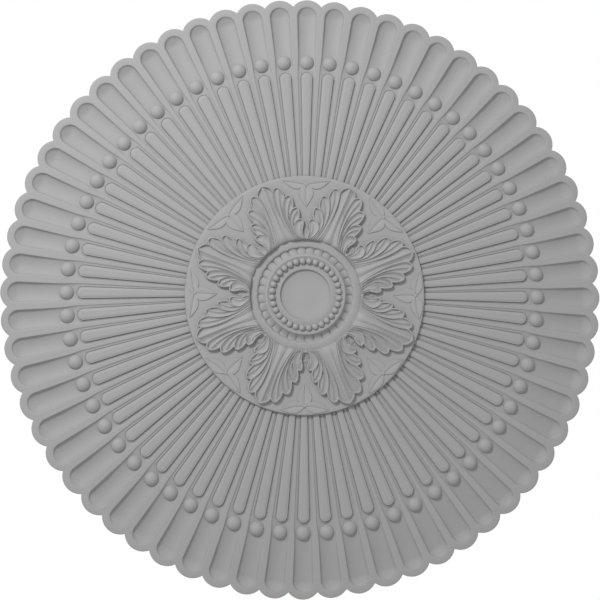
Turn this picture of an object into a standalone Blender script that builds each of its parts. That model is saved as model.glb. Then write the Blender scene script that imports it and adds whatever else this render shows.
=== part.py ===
"""A round ceiling rose, moulded in one piece, with a flat back that goes against the ceiling.

From its middle outwards the rose has a flat centre, a ring of small beads, a cove of tongues, eight
acanthus leaves on a raised disc, a field of reeded flutes with a bead in each, and a scalloped rim.
It is shaped face up, with its back on the plane z = 0, and is then turned over, ornament down.
Lengths are in millimetres until the mesh is written. Heights are measured from the back.
"""

import math

import bpy
import bmesh
from mathutils import Vector
from mathutils.geometry import delaunay_2d_cdt

MM = 0.001
WELD = 0.01

# How often things repeat
LEAVES = 8
FLUTES_PER_HALF_LEAF = 4
TONGUES_PER_HALF_LEAF = 2

# Rim and thickness
TIP_RADIUS = 391.6
SCALLOP_DEPTH = 8.8
RIM_HEIGHT = 16.0
WALL_DRAFT = 1.6
RIM_SHARES = (-0.3, 0.0, 0.3, 0.5)

# Flutes and reeds, widths as shares of a flute's pitch
TROUGH_SHARE = 0.72
TROUGH_DEPTH = 6.3
LIP_MARGIN = 9.4
FLUTE_RISE = 13.0
TROUGH_DEPTH_INNER = 1.8
REED_FOOT_SHARE = 0.58
REED_TOP_SHARE = 0.5
REED_GAP = 4.2
REED_GROOVE = 1.0
REED_PROUD = 1.6
NOSE_SETBACK = 0.4
NOSE_CORNER = (0.75, 0.62)
NOSE_DROP = 0.3
LIP_CORNER = (0.22, 0.7)

# Bead in each flute
BEAD_RING_RADIUS = 307.6
BEAD_RADIUS = 9.4
BEAD_RISE = 9.2
BEAD_SIDES = 6
BEAD_MARGIN = 1.4
BEAD_CROWN = 0.52

# Raised disc
DISC_RADIUS = 155.2
DISC_HEIGHT = 22.2
DISC_FOOT = 1.6

# Acanthus leaves, heights above the disc
LEAF_BASE_RADIUS = 72.0
LEAF_EDGE = 5.2
LEAF_RIDGE = 6.4
LEAF_SCOOP = 2.6
LEAF_BASE = 6.0
LEAF_BASE_SHARE = 0.942
GAP_BASE = 4.6
LEAF_DRAFT = 0.7
LEAF_TIP_MARGIN = 3.3
SPINE_HALF_WIDTH = 7.6
SPINE_LENGTH = 30.0
SPINE_BEND = (0.45, 0.34)
SPINE_FOOT = 4.4
SPINE_FOOT_INNER = 3.6
MIDRIB_END = 0.86
MIDRIB_END_HEIGHT = 5.6
LEAF_TIP = (1.0, 0.0)

# Hollow of a lobe: where it starts to sink and where it is deepest, as shares of the way from the
# leaf's base, its height where it starts, and how far it reaches towards the lobe's end
HOLLOW_START = 0.36
HOLLOW_FLOOR = 0.78
HOLLOW_START_HEIGHT = 4.8
HOLLOW_REACH = 0.55
HOLLOW_END_HEIGHT = 2.9

# Where points are set on the curves of a leaf, as shares of each curve
END_LOBE_STEPS = (0.5, 1.0)
LOBE_STEPS = (0.3, 0.65, 1.0)
RIDGE_STEPS = (0.0, 0.36, 0.7, 1.0)
EYE_ANGLES = (-120, -180)

# Half of a leaf's plan. Every point of it is a share of the way from the leaf's base to its tip
# and a share of the way from its axis to the eye's ray. Each lobe of the outline, from the tip on,
# has the two handles of its curve and the notch that ends it.
LOBES = (
    ((0.981, 0.078), (0.932, 0.184), (0.868, 0.197)),
    ((0.972, 0.296), (0.869, 0.441), (0.723, 0.440)),
    ((0.789, 0.601), (0.686, 0.679), (0.520, 0.625)),
    ((0.572, 0.782), (0.468, 0.833), (0.330, 0.769)),
    ((0.368, 0.923), (0.249, 0.987), (0.146, 0.827)),
)

# Ridge from the leaf's base to each notch: where it starts along the base, and its two handles
RIDGES = (
    (0.480, (0.200, 0.206), (0.583, 0.070)),
    (0.613, (0.203, 0.280), (0.490, 0.192)),
    (0.733, (0.143, 0.374), (0.363, 0.276)),
    (0.844, (0.090, 0.543), (0.254, 0.338)),
)

# Round eye between two leaves
EYE_SETBACK = 9.1
EYE_RADIUS = 5.2

# Centre ring, from the leaves inwards. Its radii are shares of the radius of the leaves' base.
BAND_OUTER_SHARE = 0.972
BAND_INNER_SHARE = 0.886
COVE_SHARE = 0.82
SLOPE_SHARE = 0.718
SLOPE_INNER_SHARE = 0.668
BEAD_RING_SHARE = 0.604
SMALL_BEAD_SHARE = 0.0585
FILLET_OUTER_SHARE = 0.534
FILLET_INNER_SHARE = 0.466
CENTRE_SHARE = 0.438
BAND_HEIGHT = 22.0
TONGUE_NOTCH = 1.8
COVE_HEIGHT = 19.7
CREVICE_DEPTH = 1.7
SLOPE_HEIGHT = 25.4
SMALL_BEAD_BED = 24.4
SMALL_BEAD_RISE = 4.4
SMALL_BEAD_SIDES = 5
FILLET_HEIGHT = 23.6
CENTRE_HEIGHT = 20.2

ROSE_COLOUR = (0.235, 0.235, 0.235, 1.0)
ROSE_ROUGHNESS = 0.72

HALF_LEAF = math.pi / LEAVES
FLUTES = 2 * LEAVES * FLUTES_PER_HALF_LEAF
PITCH = HALF_LEAF / FLUTES_PER_HALF_LEAF
TONGUE_PITCH = HALF_LEAF / TONGUES_PER_HALF_LEAF
CUSP_RADIUS = TIP_RADIUS - SCALLOP_DEPTH
LIP_RADIUS = TIP_RADIUS - LIP_MARGIN
TURN_RADIUS = LIP_RADIUS - FLUTE_RISE
LEAF_TIP_RADIUS = DISC_RADIUS - LEAF_TIP_MARGIN
EYE_RING_RADIUS = LEAF_BASE_RADIUS + EYE_SETBACK
REED_END = BEAD_RING_RADIUS - BEAD_RADIUS - REED_GAP


def ring_point(radius, angle, height):
    """A point at a radius, an angle in radians and a height from the back."""
    return (radius * math.cos(angle), radius * math.sin(angle), height)


def cubic(start, leave, reach, end, share):
    """A point of the plan on the cubic curve with these four corner points."""
    rest = 1.0 - share
    weights = (rest ** 3, 3 * rest ** 2 * share, 3 * rest * share ** 2, share ** 3)
    corners = (start, leave, reach, end)
    return tuple(sum(w * corner[axis] for w, corner in zip(weights, corners)) for axis in (0, 1))


def between(first, second, share):
    """A point on the straight line between two points."""
    return tuple(a + (b - a) * share for a, b in zip(first, second))


def filled(lines):
    """Upward triangles inside the closed lines, folded along every line. Each line is a pair of
    its points and whether it closes."""
    places, edges = [], []
    for line, closed in lines:
        first, count = len(places), len(line)
        places += line
        spans = count if closed else count - 1
        edges += [(first + i, first + (i + 1) % count) for i in range(spans)]
    plan = [Vector(place[:2]) for place in places]
    found, _, triangles, origins, _, _ = delaunay_2d_cdt(plan, edges, [], 1, 1e-4)
    points = [(spot.x, spot.y, places[source[0]][2]) for spot, source in zip(found, origins)]
    return [tuple(points[i] for i in triangle) for triangle in triangles]


def strip(left, right):
    """Triangles between two rows that run the same way, facing up where left is on the left."""
    faces, low, high = [], 0, 0
    last_low, last_high = len(left) - 1, len(right) - 1
    while low < last_low or high < last_high:
        if high == last_high or (low < last_low and (low + 1) * last_high <= (high + 1) * last_low):
            faces.append((left[low + 1], left[low], right[high]))
            low += 1
        else:
            faces.append((left[low], right[high], right[high + 1]))
            high += 1
    return faces


def turned(faces, angle):
    """The same faces turned about the axis."""
    cosine, sine = math.cos(angle), math.sin(angle)
    return [
        tuple((x * cosine - y * sine, x * sine + y * cosine, z) for x, y, z in face)
        for face in faces
    ]


def mirrored(faces):
    """The same faces on the other side of the X axis, still facing up."""
    return [tuple((x, -y, z) for x, y, z in reversed(face)) for face in faces]


def dome(centre, radius, base_height, rise, sides):
    """Lines of a bead: its foot and its crown. base_height gives the ground under it."""
    foot, crown = [], []
    lift = base_height(*centre) + rise
    for side in range(sides):
        angle = 2 * math.pi * (side + 0.5) / sides
        across, along = math.sin(angle), math.cos(angle)
        x, y = centre[0] + radius * along, centre[1] + radius * across
        foot.append((x, y, base_height(x, y)))
        inner = BEAD_CROWN * radius
        crown.append((centre[0] + inner * along, centre[1] + inner * across, lift))
    return [(foot, True), (crown, True)]


def field_point(radius, share, height):
    """A point of the fluted field, its angle a share of the pitch from the middle of a flute."""
    return ring_point(radius, share * PITCH, height)


def trough_height(x, y):
    """Height of the hollow of the flute on the X axis, an arc between its edges that grows deeper
    from the reed outwards."""
    share = math.atan2(y, x) / PITCH / (TROUGH_SHARE / 2)
    outward = (math.hypot(x, y) - REED_END) / (TURN_RADIUS - REED_END)
    outward = min(max(outward, 0.0), 1.0)
    depth = TROUGH_DEPTH_INNER + (TROUGH_DEPTH - TROUGH_DEPTH_INNER) * outward
    return RIM_HEIGHT - depth * (1.0 - share ** 2)


def trough_point(radius, share):
    x, y, _ = field_point(radius, share, 0.0)
    return (x, y, trough_height(x, y))


def rim_point(share, height, draft=0.0):
    """A point of the scalloped outline, each lobe a round arc from cusp to cusp."""
    half_chord = CUSP_RADIUS * math.sin(PITCH / 2)
    rise = TIP_RADIUS - CUSP_RADIUS * math.cos(PITCH / 2)
    arc_radius = (half_chord ** 2 + rise ** 2) / (2 * rise)
    centre = TIP_RADIUS - arc_radius
    lobe = math.floor(share + 0.5)
    angle = (share - lobe) * PITCH
    reach = math.sqrt(arc_radius ** 2 - (centre * math.sin(angle)) ** 2)
    return ring_point(centre * math.cos(angle) + reach + draft, share * PITCH, height)


def flute_sector():
    """One flute with its reed and its bead, and the land up to the next flute's edge."""
    edge, foot, top = TROUGH_SHARE / 2, REED_FOOT_SHARE / 2, REED_TOP_SHARE / 2
    groove, crown = RIM_HEIGHT - REED_GROOVE, RIM_HEIGHT + REED_PROUD
    inner = DISC_RADIUS + DISC_FOOT
    nose_length = foot * PITCH * REED_END
    shoulder = REED_END - nose_length
    start = BEAD_RING_RADIUS + BEAD_RADIUS + BEAD_MARGIN
    turn = TURN_RADIUS

    section = [(-edge, RIM_HEIGHT), (-foot, groove), (-top, crown)]
    section += [(-share, height) for share, height in reversed(section)]
    foot_row = [field_point(inner, share, height) for share, height in section]
    stations = (inner, shoulder, start, turn)
    left = [field_point(radius, -edge, RIM_HEIGHT) for radius in stations]
    right = [field_point(radius, edge, RIM_HEIGHT) for radius in stations]
    far = [field_point(radius, 1 - edge, RIM_HEIGHT) for radius in stations]
    rim = [rim_point(share, RIM_HEIGHT) for share in RIM_SHARES]
    rim.append(rim_point(1 + RIM_SHARES[0], RIM_HEIGHT))
    boundary = foot_row + far + rim[::-1] + left[:0:-1]

    reed_top = [field_point(inner, -top, crown), field_point(shoulder, -top, crown)]
    reed_top.append(field_point(REED_END - NOSE_SETBACK * nose_length, 0.0, crown))
    reed_top += [field_point(shoulder, top, crown), field_point(inner, top, crown)]
    corner = shoulder + NOSE_CORNER[0] * nose_length
    swing = NOSE_CORNER[1] * foot
    low = groove - NOSE_DROP
    reed_foot = [field_point(inner, -foot, groove), field_point(shoulder, -foot, groove)]
    reed_foot += [field_point(corner, -swing, low), trough_point(REED_END, 0.0)]
    reed_foot += [field_point(corner, swing, low), field_point(shoulder, foot, groove)]
    reed_foot.append(field_point(inner, foot, groove))

    shares = [edge * k / 2 for k in (-2, -1, 0, 1, 2)]
    cross = [[trough_point(radius, share) for share in shares] for radius in (start, turn)]
    lip_corner = LIP_RADIUS - LIP_CORNER[0] * FLUTE_RISE
    lip = [field_point(lip_corner, side * LIP_CORNER[1] * edge, RIM_HEIGHT) for side in (-1, 1)]
    lip.insert(1, field_point(LIP_RADIUS, 0.0, RIM_HEIGHT))
    lines = [(boundary, True), (right, False), (reed_top, False), (reed_foot, False)]
    lines += [(row, False) for row in cross]
    lines += [([cross[0][k], cross[1][k]], False) for k in (1, 2, 3)]
    lines.append(([left[-1]] + lip + [right[-1]], False))
    lines += dome((BEAD_RING_RADIUS, 0.0), BEAD_RADIUS, trough_height, BEAD_RISE, BEAD_SIDES)
    return filled(lines), foot_row


def rim_sector():
    """The side of one lobe and its share of the flat back."""
    shares = RIM_SHARES + (1 + RIM_SHARES[0],)
    top = [rim_point(share, RIM_HEIGHT) for share in shares]
    bottom = [rim_point(share, 0.0, WALL_DRAFT) for share in shares]
    middle = (0.0, 0.0, 0.0)
    back = [(middle, second, first) for first, second in zip(bottom, bottom[1:])]
    return strip(top, bottom) + back


def leaf_point(shares):
    """A point of the leaf on the X axis, from its shares outwards and sideways."""
    radius = LEAF_BASE_RADIUS + shares[0] * (LEAF_TIP_RADIUS - LEAF_BASE_RADIUS)
    return ring_point(radius, shares[1] * HALF_LEAF, 0.0)[:2]


def outline_curve(lobe, share):
    """A point of half a leaf's outline, on one of its lobes."""
    start = LEAF_TIP if lobe == 0 else LOBES[lobe - 1][2]
    return cubic(*(leaf_point(corner) for corner in (start, *LOBES[lobe])), share)


def eye_point(angle):
    """A point of the eye's edge, its angle measured at the eye from the way outwards."""
    centre = ring_point(EYE_RING_RADIUS, HALF_LEAF, 0.0)
    x, y, _ = ring_point(EYE_RADIUS, HALF_LEAF + angle, 0.0)
    return (centre[0] + x, centre[1] + y)


def leaf_outline():
    """Plan of half a leaf's edge, from the tip to the innermost point of the eye."""
    line = [leaf_point(LEAF_TIP)]
    for lobe in range(len(LOBES)):
        ends = lobe in (0, len(LOBES) - 1)
        steps = END_LOBE_STEPS if ends else LOBE_STEPS
        line += [outline_curve(lobe, share) for share in steps]
    line += [eye_point(math.radians(angle)) for angle in EYE_ANGLES]
    return line


def offset_outline(line, distance):
    """The line moved sideways, to its right as it runs, with its ends kept on their own rays."""
    moved = []
    for index, point in enumerate(line):
        before, after = line[max(index - 1, 0)], line[min(index + 1, len(line) - 1)]
        run = Vector((after[0] - before[0], after[1] - before[1])).normalized()
        moved.append((point[0] + distance * run.y, point[1] - distance * run.x))
    moved[0] = (line[0][0] + distance, 0.0)
    inner = math.hypot(*line[-1]) + distance
    moved[-1] = ring_point(inner, HALF_LEAF, 0.0)[:2]
    return moved


def ridge_curve(index, share):
    """A point of the ridge that ends at a notch. Ridge 0 is the leaf's own axis."""
    if index == 0:
        return leaf_point((share, 0.0))
    foot, leave, reach = RIDGES[index - 1]
    corners = ((0.0, foot), leave, reach, LOBES[index - 1][2])
    return cubic(*(leaf_point(corner) for corner in corners), share)


def lifted(plan, height):
    return (plan[0], plan[1], DISC_HEIGHT + height)


def channel_line(index):
    """The hollow of one lobe, from near the base to the middle of the lobe's end."""
    line = []
    stages = [(HOLLOW_START, HOLLOW_START_HEIGHT), (HOLLOW_FLOOR, LEAF_SCOOP)]
    if index == 0:
        del stages[0]
    for share, height in stages:
        if index == len(RIDGES):
            far = between(leaf_point((0.0, LEAF_BASE_SHARE)), leaf_point(LOBES[index][2]), share)
        else:
            far = ridge_curve(index + 1, share)
        line.append(lifted(between(ridge_curve(index, share), far, 0.5), height))
    nose = outline_curve(index, 0.5)
    line.append(lifted(between(line[-1][:2], nose, HOLLOW_REACH), HOLLOW_END_HEIGHT))
    return line


def leaf_lines():
    """Lines of half a leaf: its edge, the foot of its edge, its ridges, hollows and spine."""
    outline = leaf_outline()
    edge = [lifted(point, LEAF_EDGE) for point in outline]
    foot = [lifted(point, 0.0) for point in offset_outline(outline, LEAF_DRAFT)]
    base_heights = (LEAF_BASE, LEAF_RIDGE, LEAF_RIDGE, LEAF_EDGE)
    ridges = []
    for index in range(1, len(RIDGES) + 1):
        plan = [ridge_curve(index, share) for share in RIDGE_STEPS]
        ridges.append([lifted(point, height) for point, height in zip(plan, base_heights)])
    spine_angle = math.asin(SPINE_HALF_WIDTH / LEAF_BASE_RADIUS)
    spine = [lifted(ring_point(LEAF_BASE_RADIUS, spine_angle, 0.0), SPINE_FOOT_INNER)]
    bend = (LEAF_BASE_RADIUS + SPINE_BEND[0] * SPINE_LENGTH, SPINE_BEND[1] * SPINE_HALF_WIDTH)
    spine.append(lifted(bend, SPINE_FOOT))
    axis = [lifted((LEAF_BASE_RADIUS, 0.0), LEAF_BASE)]
    axis.append(lifted((LEAF_BASE_RADIUS + SPINE_LENGTH, 0.0), LEAF_RIDGE))
    axis.append(lifted(leaf_point((MIDRIB_END, 0.0)), MIDRIB_END_HEIGHT))
    spine.append(axis[1])
    hollows = [channel_line(index) for index in range(len(LOBES))]
    return edge, foot, ridges, spine, axis, hollows


def bead_bed(_x, _y):
    """Height of the flat bed of the small beads."""
    return SMALL_BEAD_BED


def arc(radius, height, steps):
    """Points of a ring over half a leaf, from its axis to the eye's ray."""
    return [ring_point(radius, HALF_LEAF * k / steps, height) for k in range(steps + 1)]


def tongue_arc(radius, height, notch, drop):
    """A ring of the cove over half a leaf. Between two tongues it is drawn in and lowered."""
    points = []
    for k in range(2 * TONGUES_PER_HALF_LEAF + 1):
        angle = k * TONGUE_PITCH / 2
        if k % 2 == 0:
            points.append(ring_point(radius - notch, angle, height - drop))
        else:
            points.append(ring_point(radius, angle, height))
    return points


def ring_lines():
    """Arcs of the centre ring over half a leaf, from the middle outwards, and its small beads."""
    few, steps = TONGUES_PER_HALF_LEAF, 2 * TONGUES_PER_HALF_LEAF
    arcs = [
        arc(CENTRE_SHARE * LEAF_BASE_RADIUS, CENTRE_HEIGHT, few),
        arc(FILLET_INNER_SHARE * LEAF_BASE_RADIUS, FILLET_HEIGHT, few),
        arc(FILLET_OUTER_SHARE * LEAF_BASE_RADIUS, FILLET_HEIGHT, few),
        arc(SLOPE_INNER_SHARE * LEAF_BASE_RADIUS, SLOPE_HEIGHT, steps),
        arc(SLOPE_SHARE * LEAF_BASE_RADIUS, SLOPE_HEIGHT, steps),
        tongue_arc(COVE_SHARE * LEAF_BASE_RADIUS, COVE_HEIGHT, 0.0, CREVICE_DEPTH),
        tongue_arc(BAND_INNER_SHARE * LEAF_BASE_RADIUS, BAND_HEIGHT, TONGUE_NOTCH, 0.0),
        arc(BAND_OUTER_SHARE * LEAF_BASE_RADIUS, BAND_HEIGHT, steps),
    ]
    lines = [(row, False) for row in arcs]
    for inner, outer in zip(arcs[4:6], arcs[5:7]):
        lines += [([near, far], False) for near, far in zip(inner, outer)]
    for index in range(TONGUES_PER_HALF_LEAF):
        angle = (index + 0.5) * TONGUE_PITCH
        centre = ring_point(BEAD_RING_SHARE * LEAF_BASE_RADIUS, angle, 0.0)[:2]
        radius = SMALL_BEAD_SHARE * LEAF_BASE_RADIUS
        lines += dome(centre, radius, bead_bed, SMALL_BEAD_RISE, SMALL_BEAD_SIDES)
    return arcs, lines


def disc_sector():
    """Half a leaf with the disc beside it and its share of the centre ring."""
    edge, foot, ridges, spine, axis, hollows = leaf_lines()
    arcs, lines = ring_lines()
    rim = arc(DISC_RADIUS, DISC_HEIGHT, FLUTES_PER_HALF_LEAF)
    base = [axis[0], spine[0]] + [ridge[0] for ridge in ridges]
    base.append(ring_point(LEAF_BASE_RADIUS, HALF_LEAF, DISC_HEIGHT + GAP_BASE))
    middle = (0.0, 0.0, CENTRE_HEIGHT)
    axis_side = [middle] + [row[0] for row in arcs] + axis + [edge[0], foot[0]]
    ray_side = [foot[-1], edge[-1], base[-1]] + [row[-1] for row in reversed(arcs)]
    boundary = axis_side + rim + ray_side
    lines = [(boundary, True)] + lines
    lines += [(row, False) for row in (edge, foot, base, spine)]
    lines += [(row, False) for row in ridges + hollows]
    return filled(lines), rim


def rose_faces():
    """All faces of the rose, ornament up, in millimetres."""
    flute, flute_foot = flute_sector()
    half_leaf, disc_rim = disc_sector()
    faces = []
    side = rim_sector()
    for index in range(FLUTES):
        faces += turned(flute + side, index * PITCH)
    for index in range(LEAVES):
        axis = (index + 0.5) * 2 * math.pi / LEAVES
        faces += turned(half_leaf + mirrored(half_leaf), axis)
    next_foot = field_point(DISC_RADIUS + DISC_FOOT, 1 - TROUGH_SHARE / 2, RIM_HEIGHT)
    disc_edge = [ring_point(DISC_RADIUS, share * PITCH, DISC_HEIGHT) for share in (0, 1)]
    wall = strip(disc_edge, flute_foot + [next_foot])
    for index in range(FLUTES):
        faces += turned(wall, index * PITCH)
    return faces


def rose_material():
    material = bpy.data.materials.new("moulded_rose")
    material.use_nodes = True
    shader = material.node_tree.nodes["Principled BSDF"]
    shader.inputs["Base Color"].default_value = ROSE_COLOUR
    shader.inputs["Roughness"].default_value = ROSE_ROUGHNESS
    shader.inputs["Metallic"].default_value = 0.0
    return material


def ceiling_rose():
    """The rose as one closed mesh, turned over so that its ornament faces down."""
    shape = bmesh.new()
    for face in rose_faces():
        corners = [shape.verts.new((x * MM, y * MM, z * MM)) for x, y, z in face]
        shape.faces.new(corners)
    bmesh.ops.remove_doubles(shape, verts=shape.verts[:], dist=WELD * MM)
    bmesh.ops.dissolve_degenerate(shape, edges=shape.edges[:], dist=0.1 * WELD * MM)
    mesh = bpy.data.meshes.new("ceiling_rose")
    shape.to_mesh(mesh)
    shape.free()
    mesh.shade_smooth()
    mesh.set_sharp_from_angle(angle=math.radians(30))
    mesh.materials.append(rose_material())
    rose = bpy.data.objects.new("ceiling_rose", mesh)
    rose.rotation_euler = (math.pi, 0.0, 0.0)
    bpy.context.scene.collection.objects.link(rose)
    return rose


def main():
    for old in list(bpy.data.objects):
        bpy.data.objects.remove(old, do_unlink=True)
    ceiling_rose()


if __name__ == "__main__":
    main()
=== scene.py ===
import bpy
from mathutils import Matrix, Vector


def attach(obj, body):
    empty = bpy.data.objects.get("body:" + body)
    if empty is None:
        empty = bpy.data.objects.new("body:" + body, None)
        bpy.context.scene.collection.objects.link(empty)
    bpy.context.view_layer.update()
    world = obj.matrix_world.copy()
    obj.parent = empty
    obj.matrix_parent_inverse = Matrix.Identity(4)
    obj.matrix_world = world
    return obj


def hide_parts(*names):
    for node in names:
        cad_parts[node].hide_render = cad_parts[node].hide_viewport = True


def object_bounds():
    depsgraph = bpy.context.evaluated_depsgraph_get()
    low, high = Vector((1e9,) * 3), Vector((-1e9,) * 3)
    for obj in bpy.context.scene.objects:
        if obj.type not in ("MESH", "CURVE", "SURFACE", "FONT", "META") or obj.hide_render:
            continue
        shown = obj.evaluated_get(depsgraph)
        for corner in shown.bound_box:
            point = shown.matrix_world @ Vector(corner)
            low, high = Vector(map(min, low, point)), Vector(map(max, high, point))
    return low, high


bl_info = {
    "name": "Ceiling Rose",
    "version": (1, 0, 0),
    "blender": (4, 5, 0),
    "location": "View3D > Sidebar > Ceiling Rose",
    "description": "Models a moulded ceiling rose with flutes, beads and acanthus leaves",
    "category": "Add Mesh",
}

import math

import bpy
import numpy as np
from bpy.props import FloatProperty, FloatVectorProperty, IntProperty, PointerProperty
from bpy.types import Operator, Panel, PropertyGroup
from mathutils import Matrix, Vector

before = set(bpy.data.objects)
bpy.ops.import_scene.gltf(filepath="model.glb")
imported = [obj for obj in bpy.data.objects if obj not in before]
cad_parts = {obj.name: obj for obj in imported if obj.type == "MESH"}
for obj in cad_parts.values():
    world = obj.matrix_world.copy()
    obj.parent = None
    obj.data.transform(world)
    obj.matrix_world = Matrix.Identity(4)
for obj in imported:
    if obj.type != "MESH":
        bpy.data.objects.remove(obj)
CAD_BOX = [list(corner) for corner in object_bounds()]

NODE = "ceiling_rose"
MERGE = 0.00001
NEARLY = 1e-7


def length(name, description, default):
    """A size property in metres."""
    return FloatProperty(
        name=name,
        description=description,
        default=default,
        min=0.0,
        precision=5,
        subtype="DISTANCE",
        unit="LENGTH",
    )


def share(name, description, default):
    """A size property that is a share of another size."""
    return FloatProperty(name=name, description=description, default=default, precision=4)


def rotation(name, description, degrees):
    """An angle property, with its default in degrees."""
    return FloatProperty(
        name=name,
        description=description,
        default=math.radians(degrees),
        subtype="ANGLE",
        unit="ROTATION",
    )


class FieldSizes(PropertyGroup):
    """Sizes of the fluted field and its scalloped rim."""

    flutes: IntProperty(name="Flutes", description="Flutes round the field", default=64, min=8)
    tip_radius: length("Tip radius", "Radius at the tips of the lobes", 0.3916)
    cusp_radius: length("Cusp radius", "Radius between two lobes", 0.3828)
    rim_height: length("Rim height", "Height of the lands above the back", 0.016)
    wall_draft: length("Wall draft", "How far the side spreads towards the back", 0.0016)
    edge_round: length("Edge round", "Rounding of the rim's front edge", 0.0013)
    trough: share("Trough", "Width of a flute as a share of its pitch", 0.72)
    trough_depth: length("Trough depth", "Depth of a flute", 0.0063)
    trough_bowl: share("Trough bowl", "Share of a flute's depth that is one round hollow", 0.62)
    end_rise: share("End rise", "Share of its depth that a flute loses at its round end", 0.48)
    edge_drop: length("Edge drop", "How far the rounded edge of a flute falls", 0.0005)
    lip_radius: length("Lip radius", "Where a flute's round end meets the land", 0.3822)
    bed_radius: length("Bed radius", "Inner end of the field, under the disc", 0.150)
    bed_depth: length("Bed depth", "Depth of the channel beside a reed's round end", 0.0010)
    bed_inner: length("Bed inner", "Depth of the channel beside the disc", 0.0008)
    bed_width: share("Bed width", "Width of the channel as a share of the pitch", 0.82)
    bed_under: length("Bed under", "How much deeper the channel is under a reed", 0.0009)
    bed_end: length("Bed end", "Radius where the channel turns into the flute", 0.294)
    deep_end: length("Deep end", "Radius where a flute has its full depth", 0.348)


class ReedSizes(PropertyGroup):
    """Sizes of the reeds that fill the inner part of the flutes."""

    foot: share("Foot", "Width of a reed's foot as a share of the pitch", 0.545)
    top: share("Top", "Width of a reed's top as a share of the pitch", 0.50)
    end_radius: length("End radius", "Radius of a reed's round end", 0.294)
    face: share("Face", "Width of the raised face on a reed as a share of the pitch", 0.36)
    proud: length("Proud", "Height of a reed above the lands", 0.0019)
    step: length("Step", "Height of the raised face above a reed's shoulders", 0.0005)
    fillet: length("Fillet", "Width of the thin fillet round a reed, with its groove", 0.0017)
    fillet_rise: length("Fillet rise", "Height of the fillet above the channel", 0.0005)
    groove: length("Groove", "Depth below the channel of the line between reed and fillet", 0.0003)


class BeadSizes(PropertyGroup):
    """Sizes of the bead in each flute."""

    ring_radius: length("Ring radius", "Radius of the ring of beads", 0.3076)
    radius: length("Radius", "Radius of a bead", 0.0106)
    rise: length("Rise", "Height of a bead above the flute", 0.0102)


class DiscSizes(PropertyGroup):
    """Sizes of the raised disc that carries the leaves."""

    radius: length("Radius", "Radius of the disc's top", 0.1552)
    height: length("Height", "Height of the disc above the back", 0.0222)
    foot: length("Foot", "How far the disc's side spreads to its foot", 0.0016)
    hole: length("Hole", "Radius of the recess that takes the centre ring", 0.0722)
    edge_round: length("Edge round", "Rounding of the disc's edge", 0.0006)


class LeafSizes(PropertyGroup):
    """Sizes of the acanthus leaves, heights above the disc."""

    leaves: IntProperty(name="Leaves", description="Leaves round the disc", default=8, min=3)
    base_radius: length("Base radius", "Radius where the leaves start", 0.0720)
    tip_radius: length("Tip radius", "Radius at the leaves' tips", 0.1519)
    edge: length("Edge", "Height of the rim round each lobe", 0.0052)
    ridge: length("Ridge", "Height of the ridges between the lobes", 0.0064)
    base: length("Base", "Height of a leaf at its base", 0.0060)
    gap_base: length("Gap base", "Height of the base between two leaves", 0.0046)
    base_draft: length("Base draft", "How far the leaves' inner edge slopes inwards", 0.0007)
    rim: length("Rim", "Width of the raised rim round each lobe", 0.0013)
    rib_drop: length("Rib drop", "How far the rib of a lobe is below its ridges", 0.0014)
    gouge: length("Gouge", "Depth of the hollows beside the rib of a lobe", 0.0022)
    eye_ring: length("Eye ring", "Radius of the ring of eyes between the leaves", 0.0811)
    eye_radius: length("Eye radius", "Radius of an eye", 0.0060)
    dish_floor: length("Dish floor", "Height of the floor of an eye", 0.0009)
    dish_rise: length("Dish rise", "How far the dish of an eye rises to its edge", 0.0030)


class SprigSizes(PropertyGroup):
    """Sizes of the low sprigs between the leaves' tips."""

    node_radius: length("Node radius", "Radius of the ring of the sprigs' knots", 0.1438)
    node_size: length("Node size", "Radius of a knot", 0.0025)
    blade: length("Blade", "Length of the middle blade", 0.0300)
    half_width: length("Half width", "Half width of the middle blade", 0.0098)
    side_half_width: length("Side half width", "Half width of a side blade", 0.0080)
    rise: length("Rise", "Height of a blade above the disc", 0.0011)


class CentreSizes(PropertyGroup):
    """Sizes of the ring of bands, tongues and small beads round the flat centre."""

    band_outer: length("Band outer", "Outer radius of the smooth band", 0.0724)
    band_inner: length("Band inner", "Inner radius of the smooth band", 0.0638)
    band_height: length("Band height", "Height of the smooth band above the back", 0.0220)
    tongues: IntProperty(name="Tongues", description="Tongues round the cove", default=32, min=8)
    notch: length("Notch", "How far the band reaches in between two tongues", 0.0018)
    cove_radius: length("Cove radius", "Radius of the cove's lowest line", 0.0590)
    cove_height: length("Cove height", "Height of a tongue in the cove", 0.0197)
    step_width: length("Step width", "Width of the steep step from the band to a tongue", 0.0030)
    crevice: length("Crevice", "Depth between two tongues", 0.0021)
    bed_outer: length("Bed outer", "Outer radius of the small beads' bed", 0.0517)
    bed_inner: length("Bed inner", "Inner radius of the bed's raised edge", 0.0497)
    bed_height: length("Bed height", "Height of the bed's raised edge", 0.0254)
    bead_ring: length("Bead ring", "Radius of the ring of small beads", 0.0435)
    bead_radius: length("Bead radius", "Radius of a small bead", 0.0043)
    fillet_outer: length("Fillet outer", "Outer radius of the fillet", 0.0384)
    fillet_height: length("Fillet height", "Height of the fillet", 0.0236)
    centre_edge: length("Centre edge", "Inner radius of the fillet", 0.0328)
    centre_radius: length("Centre radius", "Radius of the flat centre", 0.0319)
    centre_height: length("Centre height", "Height of the flat centre", 0.0202)


class FinishSettings(PropertyGroup):
    """Colour and surface of the moulding."""

    colour: FloatVectorProperty(
        name="Colour",
        description="Colour of the primed moulding",
        subtype="COLOR",
        size=4,
        default=(0.222, 0.222, 0.222, 1.0),
    )
    roughness: share("Roughness", "Roughness of the primed surface", 0.72)
    grain: length("Grain", "Size of the grain of the surface", 0.0012)
    grain_height: length("Grain height", "Height of the grain", 0.00002)


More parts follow.
